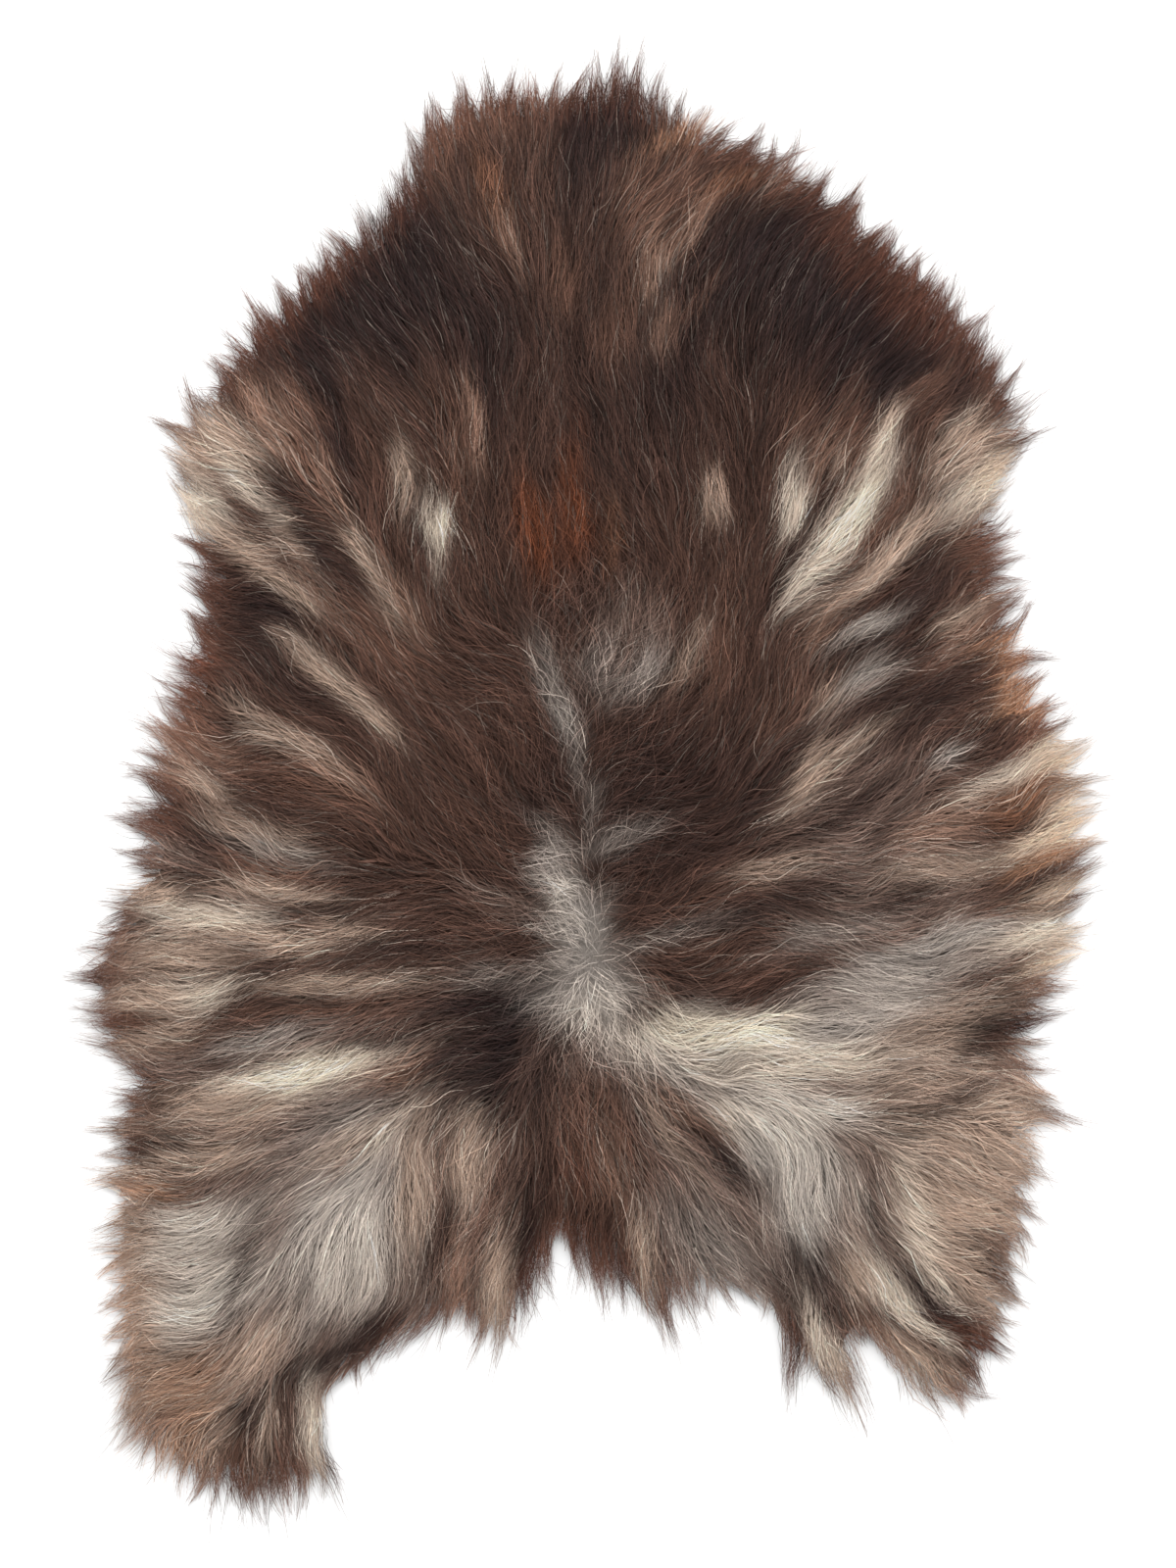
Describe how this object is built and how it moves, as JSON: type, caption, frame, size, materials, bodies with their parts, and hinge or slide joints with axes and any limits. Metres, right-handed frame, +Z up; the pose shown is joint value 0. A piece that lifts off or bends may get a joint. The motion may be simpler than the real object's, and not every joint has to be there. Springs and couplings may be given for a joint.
{
  "type": "icelandic sheepskin",
  "caption": "Sheepskin rug with long brown, black and grey wool, lying flat with the wool up over its tanned hide.",
  "frame": {"origin": "on the floor, under the middle of the fleece's bounding box", "axes": "+Z up out of the wool, +Y along the spine towards the neck, +X towards the picture's right"},
  "size_m": [0.759, 1.0978, 0.051],
  "materials": {
    "wool": "long soft wool in dark brown, near black, silver grey and cream",
    "tanned_skin": "matt cream suede underside"
  },
  "bodies": {
    "root": {"fleece": "wool", "hide": "tanned_skin"}
  },
  "joints": []
}
